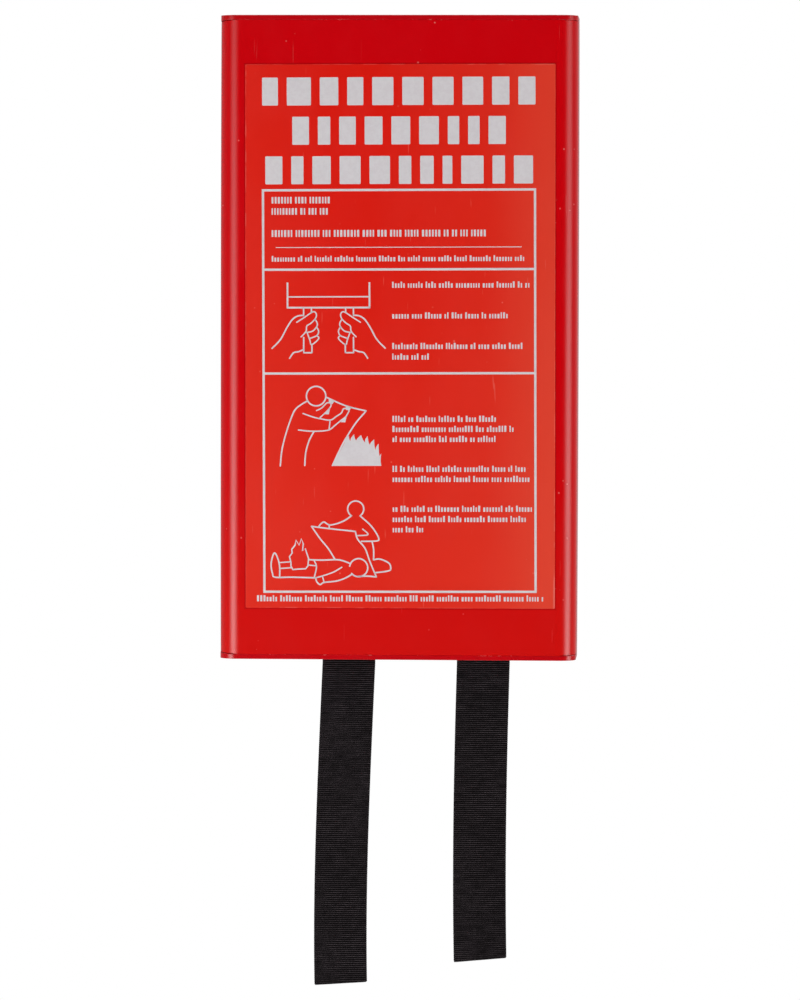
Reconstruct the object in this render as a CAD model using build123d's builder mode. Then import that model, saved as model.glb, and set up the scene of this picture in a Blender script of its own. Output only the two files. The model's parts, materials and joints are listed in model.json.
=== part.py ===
"""Wall-hung fire blanket: a folded glass-cloth blanket in a slim red plastic case, with two webbing pull straps.

Frame: +X to the right and +Z up as seen from the front, and the front faces -Y. The wall is the plane y = 0.
The origin is midway between the two keyhole entries in the back of the case. All sizes are in millimetres.
"""

from build123d import *
import os

os.makedirs("parts", exist_ok=True)

# ---- Driving dimensions ----

# Case: an extruded plastic sleeve closed by two moulded caps
CASE_WIDTH = 168.5
CASE_HEIGHT = 304.0
CASE_DEPTH = 40.0
CASE_WALL = 1.8
FRONT_CORNER = 10.0
BACK_CORNER = 4.0
CAP_CORNER = 8.0
KEYHOLES_BELOW_TOP = 34.0

# Wall keyholes
KEYHOLE_SPACING = 100.0
KEYHOLE_ENTRY_RADIUS = 4.5
KEYHOLE_SLOT_WIDTH = 4.5
KEYHOLE_SLOT_RISE = 8.0

# Caps
CAP_FLANGE = 2.0
CAP_EDGE = 0.9
TOP_CAP_GAP = 0.1
TOP_SKIRT_DEPTH = 14.0
BOTTOM_CAP_GAP = 0.3
BOTTOM_SKIRT_DEPTH = 9.0
SKIRT_WALL = 1.5
RIB_WIDTH = 1.4
RIB_DEPTH = 7.0
RIB_SPACING = 37.0
GRIP_BUMP_RADIUS = 1.6
GRIP_BUMP_HEIGHT = 0.25
GRIP_BUMP_SPACING = 110.0

# Strap slots in the bottom cap
SLOT_LENGTH = 45.0
SLOT_DEPTH = 4.4
SLOT_SPACING = 64.0
SLOT_LIP_WIDTH = 1.2
SLOT_LIP_HEIGHT = 1.5

# Label
LABEL_WIDTH = 146.4
LABEL_HEIGHT = 256.8
LABEL_THICKNESS = 0.15
LABEL_CORNER = 0.5
LABEL_SHIFT_RIGHT = 1.1
LABEL_SHIFT_UP = 0.7

# Blanket: a square of glass cloth, eight layers across and five layers down
BLANKET_SIDE = 1200.0
PANELS_ACROSS = 8
PANELS_DOWN = 5
PACK_DEPTH = 26.6
PACK_BACK_GAP = 5.2
PACK_CORNER = 3.0
PACK_ABOVE_LIP = 0.3

# Seam along the blanket's leading hem
HEM_HEIGHT = 12.0
THREAD_WIDTH = 0.7
THREAD_PROUD = 0.3
HEM_MARGIN = 3.0

# Pull straps
STRAP_WIDTH = 25.0
STRAP_THICKNESS = 1.3
LEFT_STRAP_X = -23.1
RIGHT_STRAP_X = 40.7
SEWN_LENGTH = 72.0
SEWN_BELOW_CAP = 1.0
HINGE_BELOW_CAP = 2.0
LEFT_TAIL_LENGTH = 155.0
RIGHT_TAIL_LENGTH = 143.5
LEFT_MIDDLE_DRIFT = -3.0
LEFT_END_DRIFT = -3.6
RIGHT_MIDDLE_DRIFT = -1.4
RIGHT_END_DRIFT = -1.1
TAIL_END_SKEW = 1.8

# Box seam that holds each strap to the blanket
SEAM_WIDTH = 19.0
SEAM_HEIGHT = 30.0
SEAM_BELOW_END = 5.0

# ---- Derived places ----

CASE_TOP = KEYHOLES_BELOW_TOP
CASE_BOTTOM = CASE_TOP - CASE_HEIGHT
SLEEVE_TOP = CASE_TOP - CAP_FLANGE
SLEEVE_BOTTOM = CASE_BOTTOM + CAP_FLANGE

PACK_WIDTH = BLANKET_SIDE / PANELS_ACROSS
PACK_HEIGHT = BLANKET_SIDE / PANELS_DOWN
PACK_BACK = -CASE_WALL - PACK_BACK_GAP
PACK_FRONT = PACK_BACK - PACK_DEPTH
PACK_BOTTOM = SLEEVE_BOTTOM + SLOT_LIP_HEIGHT + PACK_ABOVE_LIP

STRAP_FRONT = PACK_FRONT - STRAP_THICKNESS
STRAP_CENTRE = PACK_FRONT - STRAP_THICKNESS / 2
SEWN_BOTTOM = CASE_BOTTOM - SEWN_BELOW_CAP
SEWN_TOP = PACK_BOTTOM + SEWN_LENGTH
HINGE_HEIGHT = CASE_BOTTOM - HINGE_BELOW_CAP


def case_face(inset, front_corner=FRONT_CORNER):
    """The case's cross-section seen from above, with every side moved in by inset."""
    with BuildSketch(mode=Mode.PRIVATE) as face:
        with Locations((0, -CASE_DEPTH / 2)):
            Rectangle(CASE_WIDTH - 2 * inset, CASE_DEPTH - 2 * inset)
        fillet(face.vertices().group_by(Axis.Y)[0], front_corner - inset)
        fillet(face.vertices().group_by(Axis.Y)[-1], BACK_CORNER - inset)
    return face.sketch


# ---- Case sleeve ----

with BuildPart() as case_sleeve:
    with BuildSketch(Plane.XY.offset(SLEEVE_BOTTOM)):
        add(case_face(0))
        add(case_face(CASE_WALL), mode=Mode.SUBTRACT)
    extrude(amount=SLEEVE_TOP - SLEEVE_BOTTOM)
    # Keyholes through the back wall: a round entry, with the shank's seat at the top of the slot
    with BuildSketch(Plane.XZ):
        with GridLocations(KEYHOLE_SPACING, 1, 2, 1):
            Circle(KEYHOLE_ENTRY_RADIUS)
            with Locations((0, KEYHOLE_SLOT_RISE / 2)):
                SlotCenterToCenter(KEYHOLE_SLOT_RISE, KEYHOLE_SLOT_WIDTH, rotation=90)
    extrude(amount=CASE_WALL, mode=Mode.SUBTRACT)
case_sleeve.part.label = "case_sleeve"

# ---- Top cap: a flange over the sleeve's end, a skirt inside it and stiffening ribs ----

with BuildPart() as top_cap:
    with BuildSketch(Plane.XY.offset(SLEEVE_TOP)):
        add(case_face(0, CAP_CORNER))
    extrude(amount=CAP_FLANGE)
    fillet(top_cap.edges().group_by(Axis.Z)[-1], CAP_EDGE)
    with BuildSketch(Plane.XY.offset(SLEEVE_TOP)):
        add(case_face(CASE_WALL + TOP_CAP_GAP))
        add(case_face(CASE_WALL + TOP_CAP_GAP + SKIRT_WALL), mode=Mode.SUBTRACT)
    extrude(amount=-TOP_SKIRT_DEPTH)
    with BuildSketch(Plane.XY.offset(SLEEVE_TOP)):
        with Locations((0, -CASE_DEPTH / 2)):
            with GridLocations(RIB_SPACING, 1, 3, 1):
                Rectangle(RIB_WIDTH, CASE_DEPTH - 2 * (CASE_WALL + TOP_CAP_GAP + SKIRT_WALL / 2))
            Rectangle(CASE_WIDTH - 2 * (CASE_WALL + TOP_CAP_GAP + SKIRT_WALL / 2), RIB_WIDTH)
    extrude(amount=-RIB_DEPTH)
top_cap.part.label = "top_cap"

# ---- Bottom cap: the same flange, a shallow skirt that only grips, and two lipped strap slots ----

with BuildPart() as bottom_cap:
    with BuildSketch(Plane.XY.offset(SLEEVE_BOTTOM)):
        add(case_face(0, CAP_CORNER))
    extrude(amount=-CAP_FLANGE)
    fillet(bottom_cap.edges().group_by(Axis.Z)[0], CAP_EDGE)
    with BuildSketch(Plane.XY.offset(SLEEVE_BOTTOM)):
        add(case_face(CASE_WALL + BOTTOM_CAP_GAP))
        add(case_face(CASE_WALL + BOTTOM_CAP_GAP + SKIRT_WALL), mode=Mode.SUBTRACT)
    extrude(amount=BOTTOM_SKIRT_DEPTH)
    with BuildSketch(Plane.XY.offset(SLEEVE_BOTTOM)):
        with Locations((0, STRAP_CENTRE)):
            with GridLocations(SLOT_SPACING, 1, 2, 1):
                SlotOverall(SLOT_LENGTH + 2 * SLOT_LIP_WIDTH, SLOT_DEPTH + 2 * SLOT_LIP_WIDTH)
        add(case_face(CASE_WALL + BOTTOM_CAP_GAP), mode=Mode.INTERSECT)
    extrude(amount=SLOT_LIP_HEIGHT)
    with BuildSketch(Plane.XY.offset(CASE_BOTTOM)):
        with Locations((0, STRAP_CENTRE)):
            with GridLocations(SLOT_SPACING, 1, 2, 1):
                SlotOverall(SLOT_LENGTH, SLOT_DEPTH)
    extrude(amount=CAP_FLANGE + SLOT_LIP_HEIGHT, mode=Mode.SUBTRACT)
    # Grip bumps on the skirt's back face, which press on the sleeve and hold the cap by friction
    with BuildSketch(Plane.XZ.offset(CASE_WALL + BOTTOM_CAP_GAP)):
        with Locations((0, SLEEVE_BOTTOM + BOTTOM_SKIRT_DEPTH / 2)):
            with GridLocations(GRIP_BUMP_SPACING, 1, 2, 1):
                Circle(GRIP_BUMP_RADIUS)
    extrude(amount=-GRIP_BUMP_HEIGHT)
bottom_cap.part.label = "bottom_cap"

# ---- Label on the flat front ----

with BuildPart() as front_label:
    with BuildSketch(Plane.XZ.offset(CASE_DEPTH)):
        with Locations((LABEL_SHIFT_RIGHT, CASE_TOP - CASE_HEIGHT / 2 + LABEL_SHIFT_UP)):
            RectangleRounded(LABEL_WIDTH, LABEL_HEIGHT, LABEL_CORNER)
    extrude(amount=LABEL_THICKNESS)
front_label.part.label = "front_label"

# ---- Folded blanket: the pack's outer shape, round where the cloth turns ----

with BuildPart() as folded_blanket:
    with BuildSketch(Plane.XY.offset(PACK_BOTTOM)):
        with Locations((0, PACK_BACK - PACK_DEPTH / 2)):
            RectangleRounded(PACK_WIDTH, PACK_DEPTH, PACK_CORNER)
    extrude(amount=PACK_HEIGHT)
folded_blanket.part.label = "folded_blanket"

# ---- Thread of the leading hem, one row across each half of the pack's front ----

with BuildPart() as hem_thread:
    with BuildSketch(Plane.XZ.offset(-PACK_FRONT)):
        with Locations((0, PACK_BOTTOM + HEM_HEIGHT)):
            Rectangle(PACK_WIDTH - 2 * (PACK_CORNER + HEM_MARGIN), THREAD_WIDTH)
            for strap_x in (LEFT_STRAP_X, RIGHT_STRAP_X):
                with Locations((strap_x, 0)):
                    Rectangle(STRAP_WIDTH, 2 * THREAD_WIDTH, mode=Mode.SUBTRACT)
    extrude(amount=THREAD_PROUD)
hem_thread.part.label = "hem_thread"


def strap_sewn_end(x):
    """The stretch of a strap that is sewn to the blanket and runs down through the cap's slot."""
    with BuildPart() as sewn_end:
        with BuildSketch(Plane.XZ.offset(-PACK_FRONT)):
            with Locations((x, (SEWN_TOP + SEWN_BOTTOM) / 2)):
                Rectangle(STRAP_WIDTH, SEWN_TOP - SEWN_BOTTOM)
        extrude(amount=STRAP_THICKNESS)
    return sewn_end.part


def strap_stitching(x):
    """Thread of the box seam with its cross, proud of the strap's front."""
    with BuildPart() as stitching:
        with BuildSketch(Plane.XZ.offset(-STRAP_FRONT)):
            with Locations((x, SEWN_TOP - SEAM_BELOW_END - SEAM_HEIGHT / 2)):
                Rectangle(SEAM_WIDTH, SEAM_HEIGHT)
                Rectangle(SEAM_WIDTH - 2 * THREAD_WIDTH, SEAM_HEIGHT - 2 * THREAD_WIDTH, mode=Mode.SUBTRACT)
                diagonal = Vector(SEAM_WIDTH - THREAD_WIDTH, SEAM_HEIGHT - THREAD_WIDTH)
                slope = Vector(1, 0).get_angle(diagonal)
                for turn in (slope, -slope):
                    Rectangle(diagonal.length, THREAD_WIDTH, rotation=turn)
        extrude(amount=THREAD_PROUD)
    return stitching.part


def strap_tail(x, length, middle_drift, end_drift):
    """The free end of a strap below the cap, bowed sideways and cut a little askew."""
    end = CASE_BOTTOM - length
    middle = (HINGE_HEIGHT + end) / 2
    half = STRAP_WIDTH / 2
    with BuildPart() as tail:
        with BuildSketch(Plane.XZ.offset(-PACK_FRONT)):
            with BuildLine():
                left = ThreePointArc(
                    (x - half, HINGE_HEIGHT),
                    (x - half + middle_drift, middle),
                    (x - half + end_drift, end - TAIL_END_SKEW / 2),
                )
                right = ThreePointArc(
                    (x + half, HINGE_HEIGHT),
                    (x + half + middle_drift, middle),
                    (x + half + end_drift, end + TAIL_END_SKEW / 2),
                )
                Line(left @ 0, right @ 0)
                Line(left @ 1, right @ 1)
            make_face()
        extrude(amount=STRAP_THICKNESS)
        # Round top, concentric with the line where the strap bends
        with BuildSketch(Plane.YZ.offset(x - half)):
            with Locations((STRAP_CENTRE, HINGE_HEIGHT)):
                Circle(STRAP_THICKNESS / 2)
        extrude(amount=STRAP_WIDTH)
    return tail.part


# ---- Straps, left and right as seen from the front ----

left_strap_sewn_end = strap_sewn_end(LEFT_STRAP_X)
left_strap_sewn_end.label = "left_strap_sewn_end"
right_strap_sewn_end = strap_sewn_end(RIGHT_STRAP_X)
right_strap_sewn_end.label = "right_strap_sewn_end"

left_strap_stitching = strap_stitching(LEFT_STRAP_X)
left_strap_stitching.label = "left_strap_stitching"
right_strap_stitching = strap_stitching(RIGHT_STRAP_X)
right_strap_stitching.label = "right_strap_stitching"

left_strap_tail = strap_tail(LEFT_STRAP_X, LEFT_TAIL_LENGTH, LEFT_MIDDLE_DRIFT, LEFT_END_DRIFT)
left_strap_tail.label = "left_strap_tail"
right_strap_tail = strap_tail(RIGHT_STRAP_X, RIGHT_TAIL_LENGTH, RIGHT_MIDDLE_DRIFT, RIGHT_END_DRIFT)
right_strap_tail.label = "right_strap_tail"

# ---- Files ----

export_step(case_sleeve.part, "parts/case_sleeve.step")
export_step(top_cap.part, "parts/top_cap.step")
export_step(bottom_cap.part, "parts/bottom_cap.step")
export_step(front_label.part, "parts/front_label.step")
export_step(folded_blanket.part, "parts/folded_blanket.step")
export_step(hem_thread.part, "parts/hem_thread.step")
export_step(left_strap_sewn_end, "parts/left_strap_sewn_end.step")
export_step(right_strap_sewn_end, "parts/right_strap_sewn_end.step")
export_step(left_strap_stitching, "parts/left_strap_stitching.step")
export_step(right_strap_stitching, "parts/right_strap_stitching.step")
export_step(left_strap_tail, "parts/left_strap_tail.step")
export_step(right_strap_tail, "parts/right_strap_tail.step")
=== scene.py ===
"""A wall-hung fire blanket in its red plastic case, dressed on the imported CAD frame.

Everything is in metres in the frame of the part: +X to the right and +Z up seen from the front. The front
faces -Y, and the wall is the plane y = 0. Lengths written as 3 * MM are millimetres.
"""

import json
import math
import random

import bmesh
import bpy
from mathutils import Matrix, Vector, noise
from mathutils.geometry import tessellate_polygon


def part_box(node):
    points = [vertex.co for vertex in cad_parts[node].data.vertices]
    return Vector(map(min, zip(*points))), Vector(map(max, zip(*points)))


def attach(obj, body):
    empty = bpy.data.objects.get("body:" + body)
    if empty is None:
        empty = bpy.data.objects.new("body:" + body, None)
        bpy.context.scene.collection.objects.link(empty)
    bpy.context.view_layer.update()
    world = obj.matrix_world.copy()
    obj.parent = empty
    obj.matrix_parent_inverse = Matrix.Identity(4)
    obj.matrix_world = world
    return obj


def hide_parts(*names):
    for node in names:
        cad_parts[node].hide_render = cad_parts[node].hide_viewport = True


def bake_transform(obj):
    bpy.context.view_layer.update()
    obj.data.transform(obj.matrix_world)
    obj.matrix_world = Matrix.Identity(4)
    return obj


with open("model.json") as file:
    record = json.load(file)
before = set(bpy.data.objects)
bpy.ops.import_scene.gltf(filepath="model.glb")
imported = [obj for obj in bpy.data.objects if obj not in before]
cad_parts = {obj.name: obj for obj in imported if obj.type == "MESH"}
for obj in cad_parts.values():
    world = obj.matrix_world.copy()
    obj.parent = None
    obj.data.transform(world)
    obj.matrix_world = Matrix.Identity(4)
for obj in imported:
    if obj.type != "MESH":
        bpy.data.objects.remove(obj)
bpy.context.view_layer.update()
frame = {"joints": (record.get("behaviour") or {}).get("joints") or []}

MM = 0.001

# ---- Places read from the frame ----

SLEEVE_LOW, SLEEVE_HIGH = (Vector(p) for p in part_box("case_sleeve"))
TOP_CAP_LOW, TOP_CAP_HIGH = (Vector(p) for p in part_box("top_cap"))
BOTTOM_CAP_LOW, BOTTOM_CAP_HIGH = (Vector(p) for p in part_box("bottom_cap"))
LABEL_LOW, LABEL_HIGH = (Vector(p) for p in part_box("front_label"))
PACK_LOW, PACK_HIGH = (Vector(p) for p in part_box("folded_blanket"))

GROWN = 0.22 * MM  # the case's sides and ends stand this much outside its nominal size
CASE_HALF_WIDTH = SLEEVE_HIGH.x + GROWN
CASE_DEPTH = SLEEVE_HIGH.y - SLEEVE_LOW.y
CASE_WALL = 1.8 * MM
FRONT_CORNER = 10 * MM
BACK_CORNER = 4 * MM
CAP_CORNER = 8 * MM

# ---- Mesh helpers ----


def mesh_object(name, points, faces, smooth=True):
    """A new mesh object in the scene, with outward faces."""
    mesh = bpy.data.meshes.new(name)
    mesh.from_pydata([tuple(p) for p in points], [], faces)
    bm = bmesh.new()
    bm.from_mesh(mesh)
    bmesh.ops.recalc_face_normals(bm, faces=bm.faces)
    bm.to_mesh(mesh)
    bm.free()
    mesh.polygons.foreach_set("use_smooth", [smooth] * len(mesh.polygons))
    piece = bpy.data.objects.new(name, mesh)
    bpy.context.scene.collection.objects.link(piece)
    return piece


def ring_faces(rings, count, joined=False, first=0):
    """Quads between rings of count points. The last ring joins the first, or else each end gets a face."""
    faces = []
    for r in range(rings if joined else rings - 1):
        below, above = first + r * count, first + (r + 1) % rings * count
        for i in range(count):
            j = (i + 1) % count
            faces.append((below + i, below + j, above + j, above + i))
    if not joined:
        faces += [tuple(range(end, end + count)) for end in (first, first + (rings - 1) * count)]
    return faces


def stack(name, rings, smooth=True, joined=False):
    """A closed solid of rings, or a tube whose rings run up its outside and, joined, down its inside."""
    points = [p for ring in rings for p in ring]
    return mesh_object(name, points, ring_faces(len(rings), len(rings[0]), joined), smooth)


def box_solid(name, low, high):
    """A plain block, used only to cut or to join."""
    outline = ((low[0], low[1]), (high[0], low[1]), (high[0], high[1]), (low[0], high[1]))
    return stack(name, [[(x, y, z) for x, y in outline] for z in (low[2], high[2])], smooth=False)


def combine(piece, other, operation):
    """Cuts other from piece or joins it on, and removes other. The operation is DIFFERENCE or UNION."""
    modifier = piece.modifiers.new("combine", "BOOLEAN")
    modifier.operation = operation
    modifier.solver = "EXACT"
    modifier.object = other
    apply_modifiers(piece)
    bpy.data.objects.remove(other)


def apply_modifiers(piece):
    """Turns what the modifiers make into the piece's own mesh."""
    graph = bpy.context.evaluated_depsgraph_get()
    mesh = bpy.data.meshes.new_from_object(piece.evaluated_get(graph), depsgraph=graph)
    piece.modifiers.clear()
    piece.data = mesh


def sharpen(piece, degrees=32):
    """Keeps edges that turn by more than so many degrees crisp and the rest smooth."""
    mesh = piece.data
    mesh.polygons.foreach_set("use_smooth", [True] * len(mesh.polygons))
    mesh.set_sharp_from_angle(angle=math.radians(degrees))


def smooth_step(x):
    x = max(0.0, min(1.0, x))
    return x * x * (3 - 2 * x)


def ripple(*place):
    """Smooth unevenness from -1 to 1, with about one wave for each unit of x, y or z."""
    return noise.noise(Vector(place))


def arc(centre, radius, first, last, steps):
    """Points of an arc between two angles, as degrees counter-clockwise from +X."""
    angles = [math.radians(first + (last - first) * i / steps) for i in range(steps + 1)]
    return [(centre[0] + radius * math.cos(a), centre[1] + radius * math.sin(a)) for a in angles]


# ---- Case shape ----

CORNER_STEPS = 22
FLAT_STEPS = 24
BOW = 0.45 * MM
SIDE_BOW = 0.22 * MM
WOBBLE = 0.035 * MM
LEFT_DIP, RIGHT_DIP = 0.85 * MM, 0.35 * MM
KEYHOLE_X = 50 * MM


def flat_run(start, end, steps):
    """Points after start up to end, closer together near both ends."""
    a, b = Vector(start), Vector(end)
    return [a.lerp(b, 0.5 - 0.5 * math.cos(math.pi * i / steps)) for i in range(1, steps + 1)]


def corner_run(centre, radius, first):
    """Points after the first of a quarter turn that starts at an angle in degrees."""
    return [Vector(p) for p in arc(centre, radius, first, first + 90, CORNER_STEPS)[1:]]


def case_outline(inset, front_corner=FRONT_CORNER):
    """The case's cross-section, counter-clockwise seen from above, moved in by inset."""
    half, front, back = CASE_HALF_WIDTH - inset, -CASE_DEPTH + inset, -inset
    f, b = front_corner - inset, BACK_CORNER - inset
    points = flat_run((-half + f, front), (half - f, front), FLAT_STEPS)
    points += corner_run((half - f, front + f), f, -90)
    points += flat_run((half, front + f), (half, back - b), FLAT_STEPS // 3)
    points += corner_run((half - b, back - b), b, 0)
    points += flat_run((half - b, back), (-half + b, back), FLAT_STEPS)
    points += corner_run((-half + b, back - b), b, 90)
    points += flat_run((-half, back - b), (-half, front + f), FLAT_STEPS // 3)
    points += corner_run((-half + f, front + f), f, 180)
    return points


def front_bow(x, z):
    """How far the thin front wall stands proud of its flat plane: most at mid height, nothing at the caps."""
    across = max(0.0, 1 - (x / (CASE_HALF_WIDTH - FRONT_CORNER * 0.4)) ** 2)
    up = (z - SLEEVE_LOW.z) / (SLEEVE_HIGH.z - SLEEVE_LOW.z)
    return BOW * across * math.sin(math.pi * max(0.0, min(1.0, up))) ** 0.8


def end_dip(x, y):
    """How far the sleeve's sawn end falls short at a rounded front corner, where the flange meets it."""
    recess = max(0.0, min(1.0, (y + CASE_DEPTH) / FRONT_CORNER))
    fade = smooth_step(-y / (CASE_DEPTH - FRONT_CORNER))
    return recess ** 0.8 * fade * (LEFT_DIP if x < 0 else RIGHT_DIP)


def sleeve_ring(inset, z, dip=0.0):
    """One ring of the sleeve, bowed at the front and a little uneven as extruded plastic is."""
    ring = []
    stiff_end = 25 * MM
    ends = smooth_step((z - SLEEVE_LOW.z) / stiff_end) * smooth_step((SLEEVE_HIGH.z - z) / stiff_end)
    up = (z - SLEEVE_LOW.z) / (SLEEVE_HIGH.z - SLEEVE_LOW.z)
    bulge = SIDE_BOW * max(0.0, math.sin(math.pi * up)) ** 0.5
    for p in case_outline(inset):
        uneven = ripple(p.x * 22, p.y * 22, z * 9) * WOBBLE * ends
        outward = Vector((p.x, p.y + CASE_DEPTH / 2)).normalized() * uneven
        bow = front_bow(p.x, z) * smooth_step((-p.y - CASE_DEPTH * 0.45) / (CASE_DEPTH * 0.5))
        aside = bulge * (p.x / CASE_HALF_WIDTH) ** 9
        ring.append((p.x + outward.x + aside, p.y + outward.y - bow, z + dip * end_dip(p.x, p.y)))
    return ring


def make_sleeve():
    chamfer = 0.22 * MM
    rows = 64
    low, high = SLEEVE_LOW.z, SLEEVE_HIGH.z
    heights = [low + chamfer + (high - low - 2 * chamfer) * i / rows for i in range(rows + 1)]
    outer = [sleeve_ring(0, z, (z == heights[0]) - (z == heights[-1])) for z in heights]
    rings = [sleeve_ring(chamfer, low, 1), *outer, sleeve_ring(chamfer, high, -1)]
    rings += [sleeve_ring(CASE_WALL, high, -1), *(sleeve_ring(CASE_WALL, z) for z in heights[-2:0:-4]),
              sleeve_ring(CASE_WALL, low, 1)]
    sleeve = stack("case_sleeve_skin", rings, joined=True)
    for side in (-1, 1):
        combine(sleeve, keyhole_cutter(side * KEYHOLE_X), "DIFFERENCE")
    sharpen(sleeve)
    return sleeve


def keyhole_cutter(x):
    """A prism of a keyhole's outline: the round entry and the slot above it, through the back wall."""
    entry, half_slot, rise = 4.5 * MM, 2.25 * MM, 8 * MM
    meet = math.degrees(math.asin(half_slot / entry))
    outline = arc((x, 0), entry, 90 + meet, 450 - meet, 32) + arc((x, rise), half_slot, 0, 180, 16)
    return stack("keyhole_cutter", [[(px, y, pz) for px, pz in outline] for y in (-CASE_WALL - MM, MM)])


# ---- Caps ----

RIB_PLACES = (-37 * MM, 0, 37 * MM)
SLOT_PLACES = (-32 * MM, 32 * MM)
SLOT_HALF_LENGTH, SLOT_HALF_DEPTH = 22.5 * MM, 2.2 * MM


def cap_ring(inset, z, dip=0.0, front_corner=FRONT_CORNER):
    return [(p.x, p.y, z + dip * end_dip(p.x, p.y)) for p in case_outline(inset, front_corner)]


def make_cap(name, inner_z, outer_z, skirt_end, gap):
    """A flange flush with the sleeve, and a skirt that stands inside it with a gap all round."""
    away = 1 if outer_z > inner_z else -1
    skirt_wall, lead = 1.5 * MM, 0.4 * MM
    outside, inside, before_end = CASE_WALL + gap, CASE_WALL + gap + skirt_wall, skirt_end + away * lead
    rings = [cap_ring(inside, inner_z), cap_ring(inside, before_end), cap_ring(inside - lead / 2, skirt_end),
             cap_ring(outside + lead, skirt_end), cap_ring(outside, before_end), cap_ring(outside, inner_z)]
    edge, lip, edge_steps = 0.3 * MM, 0.12 * MM, 8
    rings.append(cap_ring(lip, inner_z, -away, CAP_CORNER))
    rings.append(cap_ring(0.0, inner_z + away * lip, -away, CAP_CORNER))
    for i in range(edge_steps + 1):
        angle = math.pi / 2 * i / edge_steps
        inset, rise = edge * (1 - math.cos(angle)), outer_z - away * edge * (1 - math.sin(angle))
        rings.append(cap_ring(inset, rise, 0.0, CAP_CORNER))
    return stack(name, rings)


def make_top_cap():
    """The upper cap, with three ribs from front to back and one along its length."""
    cap = make_cap("top_cap_skin", SLEEVE_HIGH.z, TOP_CAP_HIGH.z + GROWN, TOP_CAP_LOW.z, 0.1 * MM)
    rib, skirt, middle = 0.7 * MM, 3.0 * MM, -CASE_DEPTH / 2
    low_z, long_low_z, high_z = SLEEVE_HIGH.z - 7 * MM, SLEEVE_HIGH.z - 6.6 * MM, SLEEVE_HIGH.z + 0.3 * MM
    blocks = [((x - rib, -CASE_DEPTH + skirt, low_z), (x + rib, -skirt, high_z)) for x in RIB_PLACES]
    blocks.append(((-CASE_HALF_WIDTH + skirt, middle - rib, long_low_z),
                   (CASE_HALF_WIDTH - skirt, middle + rib, high_z)))
    for low, high in blocks:
        combine(cap, box_solid("rib", low, high), "UNION")
    sharpen(cap)
    return cap


def slot_rings(x, levels):
    """Rings of a round-ended slot centred at x on the straps' plane, for levels of (z, how much larger)."""
    rings = []
    reach = SLOT_HALF_LENGTH - SLOT_HALF_DEPTH
    for z, larger in levels:
        outline = []
        for side, first in ((1, -90), (-1, 90)):
            outline += arc((x + side * reach, STRAP_Y), SLOT_HALF_DEPTH + larger, first, first + 180, 16)
        rings.append([(px, py, z) for px, py in outline])
    return rings


def make_bottom_cap():
    """The lower cap, with a raised lip inside and eased edges round each strap's slot."""
    inner, outer = SLEEVE_LOW.z, BOTTOM_CAP_LOW.z - GROWN
    cap = make_cap("bottom_cap_skin", inner, outer, BOTTOM_CAP_HIGH.z, 0.3 * MM)
    lip, lip_top, chamfer, ease = 1.2 * MM, inner + 1.5 * MM, 0.3 * MM, 0.45 * MM
    rim = ((inner - chamfer, lip), (lip_top - chamfer, lip), (lip_top, lip - chamfer))
    cut = ((outer - MM, ease + MM), (outer, ease), (outer + ease, 0),
           (lip_top - ease, 0), (lip_top + MM, ease + MM))
    for levels, operation in ((rim, "UNION"), (cut, "DIFFERENCE")):
        for x in SLOT_PLACES:
            combine(cap, stack("slot", slot_rings(x, levels)), operation)
    sharpen(cap)
    return cap


# ---- Pull straps ----

RIB_PITCH = 0.95 * MM
ROWS_PER_RIB = 5
STRAP_BLOCKS = {
    "left": ("left_strap_sewn_end", "left_strap_tail"),
    "right": ("right_strap_sewn_end", "right_strap_tail"),
}
SEWN_LOW, SEWN_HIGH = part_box("left_strap_sewn_end")
STRAP_Y = (SEWN_LOW[1] + SEWN_HIGH[1]) / 2
STRAP_WIDTH = SEWN_HIGH[0] - SEWN_LOW[0]
STRAP_HALF_THICK = (SEWN_HIGH[1] - SEWN_LOW[1]) / 2
HINGE_Z = {side: next(j for j in frame["joints"] if j["name"] == side + "_strap_swing")["pos_m"][2]
           for side in STRAP_BLOCKS}
RIB_HEIGHT = 0.13 * MM
WEAVE_SEED = {"left": 3.1, "right": 8.7}
SWAY = {"left": 1.1 * MM, "right": -0.88 * MM}
END_SKEW = {"left": 1.7 * MM, "right": 2.3 * MM}
# How far each tail's end hangs aside, as the terms of share, share squared and share cubed of the way down
DRIFT = {"left": (-6.66 * MM, -0.91 * MM, 4.02 * MM), "right": (-3.78 * MM, 1.45 * MM, 1.28 * MM)}


def strap_drift(side, share):
    """How far the strap's centre has moved sideways at a share of the way down its tail."""
    return sum(term * share ** (power + 1) for power, term in enumerate(DRIFT[side]))


def strap_sway(side, drop):
    """A slight bow towards the front and back as the webbing hangs."""
    wave, straight = 150 * MM, 30 * MM
    return SWAY[side] * math.sin(math.pi * drop / wave) * smooth_step(drop / straight)


def strap_section():
    """(across, side) around the webbing, from -1 to 1: side 1 is the front, -1 the back, 0 a selvedge."""
    half = [0.16, 0.33, 0.5, 0.66, 0.82, 0.9, 0.95, 0.985]
    columns = [-c for c in reversed(half)] + [0.0] + half
    return [(c, 1) for c in columns] + [(1.0, 0)] + [(c, -1) for c in reversed(columns)] + [(-1.0, 0)]


def rib_height(side, row, z, across, face):
    """How high a rib stands at a place on the webbing, from about -1 to 1. The back's are half a pitch on."""
    seed = WEAVE_SEED[side]
    wander = 0.18 * ripple(across * 2.2, z * 260, seed)
    slant = 0.15 * across * ripple(z * 40, seed, 0)
    strength = 0.88 + 0.34 * ripple(across * 3, z * 700, seed + 5)
    return strength * math.sin(2 * math.pi * (row / ROWS_PER_RIB + wander + slant + (0.5 if face < 0 else 0)))


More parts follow.
